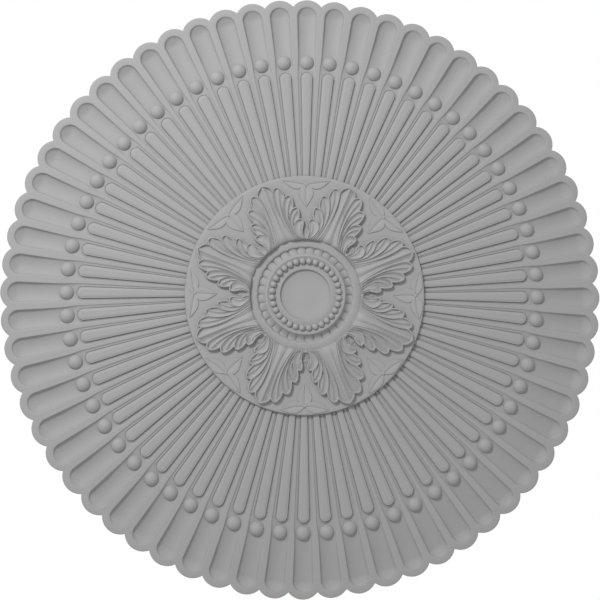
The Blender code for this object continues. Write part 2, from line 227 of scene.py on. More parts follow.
class StudioSettings(PropertyGroup):
    """Camera, lights and floor."""

    distance: length("Distance", "Distance from the camera to the rose", 1.155)
    tilt: rotation("Tilt", "Angle between the camera's axis and the rose's axis", 4.2)
    side: rotation("Side", "Side of the rose that the camera stands on", 223.0)
    roll: rotation("Roll", "Roll of the camera", 0.42)
    view_angle: rotation("View angle", "Angle that the camera sees", 37.3)
    floor_drop: length("Floor drop", "How far the floor is below the rose", 2.4)
    key_energy: FloatProperty(name="Key light", description="Power of the key light", default=34.0)
    sky: FloatProperty(name="Sky", description="Strength of the even light", default=1.0)


# Half of a leaf's plan. Every point of it is a share of the way from the leaf's base to its tip
# and a share of the way from its axis to the eye's ray. Each lobe of the outline, from the tip on,
# has the two handles of its curve and the notch that ends it.
LOBES = (
    ((0.981, 0.078), (0.932, 0.184), (0.868, 0.197)),
    ((0.972, 0.296), (0.869, 0.441), (0.723, 0.440)),
    ((0.789, 0.601), (0.686, 0.679), (0.520, 0.625)),
    ((0.572, 0.782), (0.468, 0.833), (0.330, 0.769)),
    ((0.368, 0.923), (0.249, 0.987), (0.146, 0.827)),
)

# Ridge from the leaf's base to each notch: where it starts along the base, and its two handles
RIDGES = (
    (0.480, (0.200, 0.206), (0.583, 0.070)),
    (0.613, (0.203, 0.280), (0.490, 0.192)),
    (0.733, (0.143, 0.374), (0.363, 0.276)),
    (0.844, (0.090, 0.543), (0.254, 0.338)),
)

# Where the outer side of a leaf starts along its base, and the leaf's tip
LEAF_SIDE = 0.942
LEAF_TIP = (1.0, 0.0)

# Heights and depths on the way from a leaf's base to its edge, as shares of the way and of the size
RIDGE_FALL_START = 0.7
RIDGE_HEIGHTS = ((0.0, 0.2, 0.36, 0.7, 1.0), (0.0, 0.7, 1.0, 1.0, 1.0))
GOUGE_DEPTHS = ((0.0, 0.15, 0.4, 0.8, 1.0), (0.42, 0.5, 0.7, 1.0, 1.0))
RIB_DROPS = ((0.0, 0.2, 0.75, 1.0), (0.0, 0.15, 1.0, 1.0))
TIP_DROPS = ((0.0, 0.3, 0.8, 1.0), (0.0, 0.1, 0.7, 0.9))

# Half widths of the leaf's own rib on that way, and how far out and how deep its base dips
SPINE_WIDTHS = ((0.0, 0.18, 0.36, 1.0), (0.0058, 0.0040, 0.0032, 0.0030))
SPINE_REACH = 0.009
SPINE_DIP = 0.0030


# Shared helpers


def deselect_all():
    """Leaves edit mode and selects nothing."""
    if bpy.context.object and bpy.context.object.mode != "OBJECT":
        bpy.ops.object.mode_set(mode="OBJECT")
    bpy.ops.object.select_all(action="DESELECT")


def polar(radius, angle, height):
    """Points at a radius, an angle and a height, as rows of x, y and z."""
    radius, angle, height = np.broadcast_arrays(radius, angle, height)
    return np.stack([radius * np.cos(angle), radius * np.sin(angle), height], axis=-1)


def smooth_step(low, high, value):
    """0 below low, 1 above high and an even ramp between."""
    part = np.clip((np.asarray(value, float) - low) / (high - low), 0.0, 1.0)
    return part * part * (3 - 2 * part)


def cubic(start, leave, reach, end, part):
    """Points of the cubic curve with these corner points."""
    start, leave, reach, end = (np.asarray(point, float) for point in (start, leave, reach, end))
    part = np.asarray(part, float)[..., None]
    rest = 1.0 - part
    return (
        rest**3 * start
        + 3 * rest**2 * part * leave
        + 3 * rest * part**2 * reach
        + part**3 * end
    )


def grid_quads(rows, columns, first=0):
    """Faces of a grid of points stored row by row."""
    corner = first + (np.arange(rows - 1)[:, None] * columns + np.arange(columns - 1)).ravel()
    return np.stack([corner, corner + 1, corner + columns + 1, corner + columns], axis=1)


def mesh_object(name, points, faces):
    """An object from points and faces, made the active and only selected one."""
    deselect_all()
    mesh = bpy.data.meshes.new(name)
    mesh.from_pydata(np.asarray(points, float).tolist(), [], [list(face) for face in faces])
    made = bpy.data.objects.new(name, mesh)
    bpy.context.scene.collection.objects.link(made)
    bpy.context.view_layer.objects.active = made
    made.select_set(True)
    return made


def points_of(made):
    """All points of an object's mesh as rows."""
    places = np.empty(len(made.data.vertices) * 3)
    made.data.vertices.foreach_get("co", places)
    return places.reshape(-1, 3)


def place_points(made, places):
    """Moves all points of an object's mesh."""
    made.data.vertices.foreach_set("co", np.asarray(places, float).ravel())
    made.data.update()


def section_loop(name, section):
    """A closed loop in the XZ plane from a circle primitive whose points are moved to a section."""
    deselect_all()
    bpy.ops.mesh.primitive_circle_add(vertices=len(section), radius=0.01)
    made = bpy.context.object
    made.name = name
    made.data.name = name
    places = np.zeros((len(section), 3))
    places[:, 0] = [point[0] for point in section]
    places[:, 2] = [point[1] for point in section]
    place_points(made, places)
    return made


def edit_all():
    """Enters edit mode with everything selected."""
    bpy.ops.object.mode_set(mode="EDIT")
    bpy.ops.mesh.select_all(action="SELECT")


def spin_loop(steps, turn=2 * math.pi):
    """Spins the active object's loop round the Z axis."""
    edit_all()
    bpy.ops.mesh.spin(steps=steps, angle=turn, center=(0.0, 0.0, 0.0), axis=(0.0, 0.0, 1.0))
    bpy.ops.object.mode_set(mode="OBJECT")


def repeat_round(made, count, start=0.0):
    """Copies a mesh round the Z axis into one mesh."""
    places = points_of(made)
    faces = [list(face.vertices) for face in made.data.polygons]
    every, all_faces = [], []
    for index in range(count):
        turn = start + 2 * math.pi * index / count
        cosine, sine = math.cos(turn), math.sin(turn)
        turned = np.array([[cosine, sine, 0.0], [-sine, cosine, 0.0], [0.0, 0.0, 1.0]])
        every.append(places @ turned)
        step = index * len(places)
        all_faces += [[corner + step for corner in face] for face in faces]
    mesh = bpy.data.meshes.new(made.name)
    mesh.from_pydata(np.concatenate(every).tolist(), [], all_faces)
    old = made.data
    made.data = mesh
    bpy.data.meshes.remove(old)
    mesh.name = made.name


def finish_piece(made, crease=40):
    """Merges seams, turns the piece ornament down, shades it with creases at edges sharper than
    the angle given in degrees, and fixes it to the frame."""
    deselect_all()
    bpy.context.view_layer.objects.active = made
    made.select_set(True)
    edit_all()
    bpy.ops.mesh.remove_doubles(threshold=MERGE)
    bpy.ops.mesh.dissolve_degenerate(threshold=MERGE)
    bpy.ops.mesh.select_all(action="SELECT")
    bpy.ops.mesh.normals_make_consistent(inside=False)
    bpy.ops.object.mode_set(mode="OBJECT")
    place_points(made, points_of(made) * (1.0, -1.0, -1.0))
    bpy.ops.object.shade_smooth_by_angle(angle=math.radians(crease))
    made.data.materials.clear()
    made.data.materials.append(rose_finish())
    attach(made, "root")
    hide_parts(NODE)


# Fluted field


# Shares of a flute's half width and of the land's, at which the rows have points
BED_SHARE = 0.90
BED_STEP = (0.73, 0.79)
TROUGH_PARTS = (
    0.0, 0.2, 0.4, 0.56, 0.7, 0.735, 0.79, 0.84, 0.87, BED_SHARE, 0.935, 0.965, 0.985, 1.0,
)
LAND_PARTS = (0.05, 0.12, 0.24, 0.5, 1.0)
LAND_DROPS = (0.5, 0.15, 0.0, 0.0, 0.0)

# Radii of the rows of points in the straight part of a flute, closer where its section changes
FIELD_STATIONS = (
    0.150, 0.1575, 0.180, 0.210, 0.240, 0.265, 0.280, 0.287, 0.290, 0.292, 0.294, 0.296,
    0.298, 0.301, 0.308, 0.316, 0.326, 0.337, 0.348, 0.357,
)
FAN_STEPS = 14

# Distances from the channel's end over which the hollow takes its place and the flute widens
HOLLOW_RAMP = (-0.008, -0.001)
WIDTH_RAMP = (-0.002, 0.022)
HOLLOW_SILL = 0.0010
LIP_POWER = 14
WALL_STEPS = (0.35, 0.7, 1.0)


def bed_depth(sizes, radius):
    """Depth of the channel beside a reed, shallower towards the disc."""
    ends = (sizes.bed_radius, sizes.bed_end)
    return np.interp(radius, ends, (sizes.bed_inner, sizes.bed_depth))


def trough_height(sizes, part, radius):
    """Height of a flute at a share of its half width, with the channel beside the reed."""
    ends = (sizes.bed_end, sizes.deep_end)
    depth = np.interp(radius, ends, (sizes.bed_depth + HOLLOW_SILL, sizes.trough_depth))
    drop = sizes.edge_drop
    round_share = sizes.trough_bowl
    bowl = round_share * (1.0 - part**2) + (1 - round_share) * (1.0 - part**LIP_POWER)
    hollow = drop + (depth - drop) * bowl
    side = np.clip((1.0 - part) / (1.0 - BED_SHARE), 0.0, 1.0) ** 0.7
    bed = drop + (bed_depth(sizes, radius) - drop) * side
    bed = bed + sizes.bed_under * (1.0 - smooth_step(*BED_STEP, part))
    turn = smooth_step(*(sizes.bed_end + shift for shift in HOLLOW_RAMP), radius)
    return sizes.rim_height - bed - (hollow - bed) * turn


class FluteSector:
    """One flute with half of the land on either side, its lobe, its side wall and its back."""

    def __init__(self, sizes):
        self.sizes = sizes
        self.pitch = 2 * math.pi / sizes.flutes
        self.edge = sizes.trough * self.pitch / 2
        half_end = self.edge * sizes.lip_radius
        self.turn = sizes.lip_radius - half_end / (1.0 + self.edge)
        half_chord = sizes.cusp_radius * math.sin(self.pitch / 2)
        rise = sizes.tip_radius - sizes.cusp_radius * math.cos(self.pitch / 2)
        self.arc_radius = (half_chord**2 + rise**2) / (2 * rise)
        self.arc_centre = sizes.tip_radius - self.arc_radius
        cusp_x = sizes.cusp_radius * math.cos(self.pitch / 2) - self.turn
        self.cusp_angle = math.atan2(half_chord, cusp_x)

    def outline(self, angle):
        """Distance from the flute's turning point to the lobe's outline."""
        back = self.turn - self.arc_centre
        across = back * math.sin(angle)
        return -back * math.cos(angle) + math.sqrt(self.arc_radius**2 - across**2)

    def border(self, angle):
        """Distance from the turning point to the ray between two flutes."""
        slope = math.tan(self.pitch / 2)
        return self.turn * slope / (math.sin(angle) - math.cos(angle) * slope)

    def straight_row(self, radius):
        """Points from the middle of the flute to the middle of the land."""
        parts = np.array(TROUGH_PARTS)
        wide = smooth_step(*(self.sizes.bed_end + shift for shift in WIDTH_RAMP), radius)
        bed = self.sizes.bed_width * self.pitch / 2
        edge = bed + (self.edge - bed) * wide
        trough = polar(radius, parts * edge, trough_height(self.sizes, parts, radius))
        land = edge + np.array(LAND_PARTS) * (self.pitch / 2 - edge)
        heights = self.sizes.rim_height - np.array(LAND_DROPS) * self.sizes.edge_drop
        return np.concatenate([trough, polar(radius, land, heights)])

    def fan_row(self, angle):
        """Points from the turning point out to the rim or to the middle of the land."""
        sizes = self.sizes
        parts = np.array(TROUGH_PARTS)
        lip = self.turn * self.edge
        on_rim = angle <= self.cusp_angle + NEARLY
        far = self.outline(angle) if on_rim else self.border(angle)
        front = far - sizes.edge_round if on_rim else far
        distances = np.concatenate([parts * lip, lip + np.array(LAND_PARTS) * (front - lip)])
        heights = np.full(len(distances), sizes.rim_height)
        hollow = trough_height(sizes, parts, sizes.lip_radius)
        shallow = 1.0 - sizes.end_rise * math.cos(angle) ** 2 * parts**1.5
        heights[: len(parts)] += (hollow - sizes.rim_height) * shallow
        heights[len(parts) :] -= np.array(LAND_DROPS) * sizes.edge_drop
        x = self.turn + distances * math.cos(angle)
        row = np.stack([x, distances * math.sin(angle), heights], axis=1)
        if abs(angle - self.cusp_angle) < NEARLY:
            row[-1] = polar(sizes.cusp_radius - sizes.edge_round, self.pitch / 2, sizes.rim_height)
        return row

    def wall_column(self, angle):
        """Points from the rim's front edge down to the back."""
        sizes = self.sizes
        far = self.outline(angle)
        at_edge = np.array([self.turn + far * math.cos(angle), far * math.sin(angle)])
        reach = math.hypot(*at_edge)
        outward = at_edge / reach
        column = []
        for step in WALL_STEPS:
            swing = step * math.pi / 2
            inward = sizes.edge_round * (1 - math.sin(swing))
            drop = sizes.edge_round * (1 - math.cos(swing))
            column.append([*(at_edge - outward * inward), sizes.rim_height - drop])
        column.append([*(at_edge + outward * sizes.wall_draft), 0.0])
        return column

    def half(self):
        """Points and faces of the half with positive angles."""
        angles = np.linspace(0.0, self.cusp_angle, FAN_STEPS)
        beyond = np.linspace(self.cusp_angle, math.pi / 2, 5)[1:-1]
        rows = [self.straight_row(radius) for radius in FIELD_STATIONS + (self.turn,)]
        rows += [self.fan_row(angle) for angle in beyond[::-1]]
        rows += [self.fan_row(angle) for angle in angles[::-1]]
        points = np.concatenate(rows)
        columns = len(TROUGH_PARTS) + len(LAND_PARTS)
        faces = grid_quads(len(rows), columns).tolist()
        lip = [len(rows) - FAN_STEPS + k for k in range(FAN_STEPS)]
        front = [row * columns + columns - 1 for row in lip]
        walls = np.array([self.wall_column(angle) for angle in angles[::-1]])
        depth = walls.shape[1]
        first = len(points)
        points = np.concatenate([points, walls.reshape(-1, 3)])
        faces += grid_quads(FAN_STEPS, depth, first).tolist()
        for k in range(FAN_STEPS - 1):
            near, far = first + k * depth, first + (k + 1) * depth
            faces.append([front[k], near, far, front[k + 1]])
        middle_back, middle_front = len(points), len(points) + 1
        bed = self.sizes.rim_height - self.sizes.bed_inner
        points = np.concatenate([points, [[0.0, 0.0, 0.0], [0.0, 0.0, bed]]])
        for k in range(FAN_STEPS - 1):
            low = first + k * depth + depth - 1
            faces.append([middle_back, low + depth, low])
        for k in range(columns - 1):
            faces.append([middle_front, k + 1, k])
        return points, faces

    def build(self):
        """The whole sector as one object."""
        points, faces = self.half()
        mirrored = points * (1.0, -1.0, 1.0)
        count = len(points)
        other = [[corner + count for corner in reversed(face)] for face in faces]
        return mesh_object("fluted_field", np.concatenate([points, mirrored]), faces + other)


class ROSE_OT_fluted_field(Operator):
    """Model the field of flutes with its scalloped rim, its side and its back"""

    bl_idname = "rose.fluted_field"
    bl_label = "Fluted Field"

    def execute(self, context):
        sizes = context.scene.rose_field
        made = FluteSector(sizes).build()
        repeat_round(made, sizes.flutes)
        finish_piece(made, crease=32)
        return {"FINISHED"}


# How deep a reed reaches into the field and how far under the disc, and its small roundings
REED_ROOT = 0.003
REED_UNDER_DISC = 0.003
REED_ROUND = 0.0004
REED_TURN_STEPS = 14
FILLET_ARC = ((0.15, 0.8), (0.35, 1.0), (0.55, 0.8))


def reed_section(field, sizes, foot):
    """Half of a reed's section with its groove and fillet: distances from the axis, and heights."""
    bed = field.rim_height - field.bed_depth
    crest = field.rim_height + sizes.proud
    shoulder = crest - sizes.step
    top = foot * sizes.top / sizes.foot
    face = foot * sizes.face / sizes.foot
    outer = foot + sizes.fillet
    section = [(0.0, bed - REED_ROOT), (outer, bed - REED_ROOT), (outer, bed)]
    for inward, up in FILLET_ARC:
        section.append((outer - inward * sizes.fillet, bed + up * sizes.fillet_rise))
    return section + [
        (foot, bed - sizes.groove),
        (top + 0.3 * (foot - top), shoulder - 1.5 * REED_ROUND),
        (top, shoulder - 0.25 * REED_ROUND),
        (top - REED_ROUND, shoulder),
        (face + 1.25 * REED_ROUND, shoulder + 0.125 * REED_ROUND),
        (face, crest - 0.375 * REED_ROUND),
        (face - REED_ROUND, crest),
        (0.5 * face, crest),
        (0.0, crest),
    ]


class ROSE_OT_reeds(Operator):
    """Model the round-ended reeds in the inner part of the flutes"""

    bl_idname = "rose.reeds"
    bl_label = "Reeds"

    def execute(self, context):
        field, sizes = context.scene.rose_field, context.scene.rose_reed
        inner = context.scene.rose_disc.radius - REED_UNDER_DISC
        half_foot = sizes.foot * math.pi / field.flutes
        foot = half_foot * sizes.end_radius / (1 + half_foot)
        shoulder = sizes.end_radius - foot
        made = section_loop("reeds", reed_section(field, sizes, foot))
        places = points_of(made)
        turned = np.stack([np.zeros(len(places)), -places[:, 0], places[:, 2]], axis=1)
        place_points(made, turned)
        spin_loop(REED_TURN_STEPS, -math.pi)
        places = points_of(made)
        ends = [i for i, place in enumerate(places) if abs(place[0]) < NEARLY]
        thin = (sizes.proud + field.bed_inner) / (sizes.proud + field.bed_depth)
        crest = field.rim_height + sizes.proud
        extend_ends(made, ends, inner - shoulder, inner / shoulder, thin, crest)
        place_points(made, points_of(made) + (shoulder, 0.0, 0.0))
        repeat_round(made, field.flutes)
        finish_piece(made)
        return {"FINISHED"}


def extend_ends(made, ends, reach, narrow, thin, crest):
    """Draws the open ends of a spun shape out along X, narrows and thins them and caps them."""
    mesh = made.data
    chosen = set(ends)
    for edge in mesh.edges:
        edge.select = all(corner in chosen for corner in edge.vertices)
    for vertex in mesh.vertices:
        vertex.select = vertex.index in chosen
    for face in mesh.polygons:
        face.select = False
    bpy.context.tool_settings.mesh_select_mode = (False, True, False)
    bpy.ops.object.mode_set(mode="EDIT")
    bpy.ops.mesh.extrude_region_move(TRANSFORM_OT_translate={"value": (reach, 0.0, 0.0)})
    bpy.ops.transform.resize(value=(1.0, narrow, thin), center_override=(0.0, 0.0, crest))
    bpy.ops.mesh.edge_face_add()
    bpy.ops.object.mode_set(mode="OBJECT")


def bead(name, radius, sink, segments, rings, rise=1.0):
    """A bead from a sphere primitive, flattened to a share of its height and cut off below."""
    deselect_all()
    bpy.ops.mesh.primitive_uv_sphere_add(segments=segments, ring_count=rings, radius=radius)
    made = bpy.context.object
    made.name = name
    made.data.name = name
    places = points_of(made)
    places[:, 2] *= rise
    place_points(made, places)
    edit_all()
    bpy.ops.mesh.bisect(
        plane_co=(0.0, 0.0, -sink), plane_no=(0.0, 0.0, -1.0), use_fill=True, clear_outer=True
    )
    bpy.ops.object.mode_set(mode="OBJECT")
    return made


class ROSE_OT_flute_beads(Operator):
    """Model the bead that sits in each flute"""

    bl_idname = "rose.flute_beads"
    bl_label = "Flute Beads"

    def execute(self, context):
        field, sizes = context.scene.rose_field, context.scene.rose_bead
        ground = field.rim_height - field.trough_depth
        made = bead("flute_beads", sizes.radius, sink=0.004, segments=24, rings=16)
        top = ground + sizes.rise
        place_points(made, points_of(made) + (sizes.ring_radius, 0.0, top - sizes.radius))
        repeat_round(made, field.flutes)
        finish_piece(made)
        return {"FINISHED"}


# How deep the disc reaches into the field, and the depth of the recess for the centre ring
DISC_ROOT = 0.002
DISC_RECESS = 0.007
DISC_RECESS_DRAFT = 0.001

# How far below the lands the disc's side ends, and how far in its top is flat
DISC_SIDE_END = 0.0004
DISC_TOP_EDGE = 0.004
DISC_STEPS = 256


class ROSE_OT_disc(Operator):
    """Model the raised disc that carries the leaves"""

    bl_idname = "rose.disc"
    bl_label = "Disc"

    def execute(self, context):
        sizes, field = context.scene.rose_disc, context.scene.rose_field
        edge = sizes.edge_round
        root = field.rim_height - field.bed_depth - DISC_ROOT
        recess = sizes.height - DISC_RECESS
        section = [
            (0.0, root),
            (sizes.radius + sizes.foot, root),
            (sizes.radius + sizes.foot, field.rim_height - DISC_SIDE_END),
            (sizes.radius, sizes.height - edge),
            (sizes.radius - 0.3 * edge, sizes.height - 0.3 * edge),
            (sizes.radius - edge, sizes.height),
            (sizes.radius - DISC_TOP_EDGE, sizes.height),
            (sizes.hole, sizes.height),
            (sizes.hole - DISC_RECESS_DRAFT, recess),
            (0.0, recess),
        ]
        made = section_loop("rosette_disc", section)
        spin_loop(DISC_STEPS)
        finish_piece(made, crease=35)
        return {"FINISHED"}


# Acanthus leaves


def leaf_point(sizes, shares):
    """A point of the leaf on the X axis, from its shares outwards and sideways."""
    radius = sizes.base_radius + shares[0] * (sizes.tip_radius - sizes.base_radius)
    angle = shares[1] * math.pi / sizes.leaves
    return np.array([radius * math.cos(angle), radius * math.sin(angle)])


def ridge_points(sizes, index, part):
    """The ridge that ends at a notch. Ridge 0 is the leaf's axis, and the last its inner side."""
    if index in (0, len(LOBES)):
        start = leaf_point(sizes, (0.0, LEAF_SIDE if index else 0.0))
        notch = leaf_point(sizes, LOBES[-1][2] if index else LEAF_TIP)
        return start + (notch - start) * np.asarray(part, float)[..., None]
    foot, leave, reach = RIDGES[index - 1]
    corners = ((0.0, foot), leave, reach, LOBES[index - 1][2])
    return cubic(*(leaf_point(sizes, corner) for corner in corners), part)


def lobe_end(sizes, index, part):
    """The outer edge of a lobe, from one notch to the next."""
    start = LEAF_TIP if index == 0 else LOBES[index - 1][2]
    return cubic(*(leaf_point(sizes, corner) for corner in (start, *LOBES[index])), part)


# Where the eye's edge starts, in degrees from the ray outwards, how far it turns, and the share of
# it that leads over from the lobe
EYE_START = -75.0
EYE_TURN = -105.0
EYE_LEAD = 0.3


def eye_edge(sizes, part):
    """The edge of the eye, from the innermost lobe to the ray between two leaves."""
    half = math.pi / sizes.leaves
    centre = sizes.eye_ring * np.array([math.cos(half), math.sin(half)])
    turn = half + np.radians(EYE_START + EYE_TURN * np.asarray(part, float))
    arc = centre + sizes.eye_radius * np.stack([np.cos(turn), np.sin(turn)], axis=-1)
    start = leaf_point(sizes, LOBES[-1][2]) - arc.reshape(-1, 2)[0]
    return arc + start * (1.0 - smooth_step(0.0, EYE_LEAD, part))[..., None]


def base_arc(sizes, first, last, part):
    """The leaf's base between two angles."""
    turn = first + (last - first) * np.asarray(part, float)
    return sizes.base_radius * np.stack([np.cos(turn), np.sin(turn)], axis=-1)


def patch(first, second, base, end, along, across):
    """Points between two sides, a base and an end, as in a net stretched over four curves.
    The base and the end are given at the places across of every row."""
    u, v = along[:, None, None], across[..., None]
    sides = (1 - v) * first[:, None, :] + v * second[:, None, :]
    ends = (1 - u) * base + u * end
    corners = (1 - u) * ((1 - v) * first[0] + v * second[0]) + u * (
        (1 - v) * first[-1] + v * second[-1]
    )
    return sides + ends - corners


def distance_to(line, points):
    """Distance from each point to a line of points."""
    first, run = line[:-1], np.diff(line, axis=0)
    size = np.maximum((run**2).sum(axis=1), 1e-16)
    best = np.full(len(points), 1e9)
    for start, step, square in zip(first, run, size):
        part = np.clip(((points - start) @ step) / square, 0.0, 1.0)
        gap = points - start - part[:, None] * step
        best = np.minimum(best, (gap**2).sum(axis=1))
    return np.sqrt(best)


EDGE_POINTS = 40

# Shares of the way along and across a lobe, at which its net has points
LEAF_ALONG = np.concatenate(
    [[0.0, 0.015, 0.035], np.linspace(0.07, 0.84, 22), np.linspace(0.856, 1.0, 16)]
)
LEAF_ACROSS = np.array(
    [0, 0.03, 0.08, 0.15, 0.25, 0.35, 0.42, 0.47, 0.5, 0.53, 0.58, 0.65, 0.75, 0.85, 0.92, 0.97, 1]
)

# Rim of a lobe: how far and how deep its edge is rounded, and where it starts on the way along
RIM_EDGE = 0.0006
RIM_FALL = 0.0004
RIM_START = 0.55
RIM_RUN = 0.2
RIM_BLEND = 1.9
EYE_RIM_START = 0.4
EYE_RIM_SHARE = 0.6

# Least width of the lobe at the tip, and how far and how deep the leaf is rounded at its base
TIP_WIDTH = 0.0085
BASE_ROUND = (0.0018, 0.0012)

# Largest widths of the leaf's rib and depths of a hollow, as shares of a lobe's width
SPINE_LIMIT = 0.62
GOUGE_LIMIT = 0.23
# Depth of the two hollows that the one beside the leaf's rib starts as, and where they join
PAIR_DEPTH = 0.45
PAIR_END = (0.25, 0.6)
SPINE_FALL = 1.1


def ridge_height(sizes, part):
    """Height of the ridges on their way from the leaf's base."""
    share = np.interp(part, *RIDGE_HEIGHTS)
    fall = smooth_step(RIDGE_FALL_START, 1.0, part) * (sizes.ridge - sizes.edge)
    return sizes.base + (sizes.ridge - sizes.base) * share - fall


def rib_foot(part, width):
    """Half width of the leaf's own rib, a wide triangle at the base."""
    return np.minimum(np.interp(part, *SPINE_WIDTHS), SPINE_LIMIT * width)


def hollow_between(share):
    """1 in the middle of a hollow and 0 at its two crests."""
    return np.sin(math.pi * np.clip(share, 0.0, 1.0)) ** 1.2


def lobe_heights(sizes, u, across, width):
    """Heights of a lobe's net: two hollows with a rib between them."""
    gouge = np.minimum(np.interp(u, *GOUGE_DEPTHS) * sizes.gouge, GOUGE_LIMIT * width)
    rib = np.interp(u, *RIB_DROPS) * sizes.rib_drop
    line = ridge_height(sizes, u) - rib * (1 - np.abs(2 * across - 1))
    return line - gouge * hollow_between((2 * across) % 1.0)


def tip_heights(sizes, u, across, plan):
    """Heights of the net at the tip: half of the leaf's own rib and a hollow that starts as two."""
    height = ridge_height(sizes, u)
    low = np.clip((sizes.base_radius + SPINE_REACH - plan[..., 0]) / SPINE_REACH, 0.0, 1.0)
    rise = height - np.interp(u, *TIP_DROPS) * sizes.rib_drop - SPINE_DIP * low**2
    inner = np.clip(2 * across, 0.0, 1.0)
    outer = np.clip(2 * across - 1, 0.0, 1.0)
    foot_drop = SPINE_FALL * sizes.rib_drop
    pair = PAIR_DEPTH * hollow_between((2 * outer) % 1.0)
    hollow = pair + (hollow_between(outer) - pair) * smooth_step(*PAIR_END, u)
    edge = rise - foot_drop
    gouge = np.interp(u, *GOUGE_DEPTHS) * sizes.gouge
    side = edge + (height - edge) * outer - gouge * hollow
    return np.where(across <= 0.5, rise - foot_drop * inner**1.6, side)


def add_rim(sizes, heights, plan, line, start, rim):
    """Raises the net to the thin rim along the leaf's edge."""
    gap = distance_to(line, plan.reshape(-1, 2)).reshape(heights.shape)
    crest = sizes.edge - RIM_FALL * np.clip(1 - gap / RIM_EDGE, 0.0, 1.0) ** 2
    along = smooth_step(start, start + RIM_RUN, LEAF_ALONG)[:, None]
    near = (1 - smooth_step(rim, RIM_BLEND * rim, gap)) * along
    return heights + (crest - heights) * near


def joined(rows):
    """One row from rows of points that each end where the next one starts."""
    return np.concatenate([row[:-1] for row in rows[:-1]] + [rows[-1]])


def half_leaf(sizes):
    """Nets of half a leaf and the line of its edge."""
    fine = np.linspace(0.0, 1.0, EDGE_POINTS)
    line = [lobe_end(sizes, index, fine) for index in range(len(LOBES))]
    line = np.concatenate(line + [eye_edge(sizes, fine)])
    base_shares = [0.0] + [row[0] for row in RIDGES] + [LEAF_SIDE, 1.0]
    base_angles = [share * math.pi / sizes.leaves for share in base_shares]
    nets = []
    u = LEAF_ALONG[:, None]
    even = np.repeat(LEAF_ACROSS[None, :], len(LEAF_ALONG), axis=0)
    for index in range(len(LOBES)):
        first = ridge_points(sizes, index, LEAF_ALONG)
        second = ridge_points(sizes, index + 1, LEAF_ALONG)
        width = np.linalg.norm(second - first, axis=1)[:, None]
        spread = even
        if index == 0:
            width = np.maximum(width, TIP_WIDTH)
            foot = rib_foot(u, width) / width
            spread = np.where(even <= 0.5, 2 * even * foot, foot + (2 * even - 1) * (1 - foot))
        base = base_arc(sizes, base_angles[index], base_angles[index + 1], spread)
        plan = patch(first, second, base, lobe_end(sizes, index, spread), LEAF_ALONG, spread)
        if index == 0:
            heights = tip_heights(sizes, u, even, plan)
        else:
            heights = lobe_heights(sizes, u, even, width)
        heights = add_rim(sizes, heights, plan, line, RIM_START, sizes.rim)
        nets.append(np.concatenate([plan, heights[..., None]], axis=-1))
    side = ridge_points(sizes, len(LOBES), LEAF_ALONG)
    half = math.pi / sizes.leaves
    eye_in = sizes.eye_ring - sizes.eye_radius
    radii = sizes.base_radius + (eye_in - sizes.base_radius) * u
    ray = radii * np.array([math.cos(half), math.sin(half)])
    base = base_arc(sizes, base_angles[-2], base_angles[-1], even)
    plan = patch(side, ray, base, eye_edge(sizes, even), LEAF_ALONG, even)
    low = sizes.gap_base + (sizes.edge - sizes.gap_base) * u
    heights = ridge_height(sizes, u) * (1 - even) + low * even
    heights = add_rim(sizes, heights, plan, line, EYE_RIM_START, EYE_RIM_SHARE * sizes.rim)
    nets.append(np.concatenate([plan, heights[..., None]], axis=-1))
    reach, drop = BASE_ROUND
    for net in nets:
        gap = np.hypot(net[..., 0], net[..., 1]) - sizes.base_radius
        net[..., 2] -= drop * (1 - np.clip(gap / reach, 0.0, 1.0)) ** 2
    return nets, joined([net[-1] for net in nets])


def skirt(edge, rings):
    """Rows of points that lead from a leaf's edge down into the disc."""
    plan = edge[:, :2]
    run = np.gradient(plan, axis=0)
    run /= np.maximum(np.linalg.norm(run, axis=1), 1e-9)[:, None]
    outward = np.stack([run[:, 1], -run[:, 0]], axis=1)
    outward[0] = (1.0, 0.0)
    last = math.atan2(plan[-1, 1], plan[-1, 0])
    outward[-1] = (math.cos(last), math.sin(last))
    rows = [edge]
    for distance, height in rings:
        row = np.concatenate([plan + outward * distance, np.full((len(plan), 1), height)], axis=1)
        rows.append(row)
    return np.array(rows)


def leaf_base_wall(sizes, nets, height):
    """Rows of points from the leaves' inner edge down into the disc."""
    top = joined([net[0] for net in nets])
    low = top * (1.0 - sizes.base_draft / sizes.base_radius)
    low[:, 2] = height
    return np.array([low, top])


# How far out the side of a leaf is under its rounded edge, at the disc and inside it
SKIRT_STEPS = (0.0002, 0.0007, 0.0008)
SKIRT_ROUND = 0.0011

# How deep the leaves and the dishes reach into the disc
LEAF_ROOT = 0.0010
DISH_ROOT = 0.0006
DISH_RINGS = 8
DISH_SPOKES = 28
DISH_REACH = 1.12

# Cosines of the turns round the eye between which the dish's wall rises, and the wall's steepness
DISH_OPEN = (0.55, -0.35)
DISH_POWER = 2.4


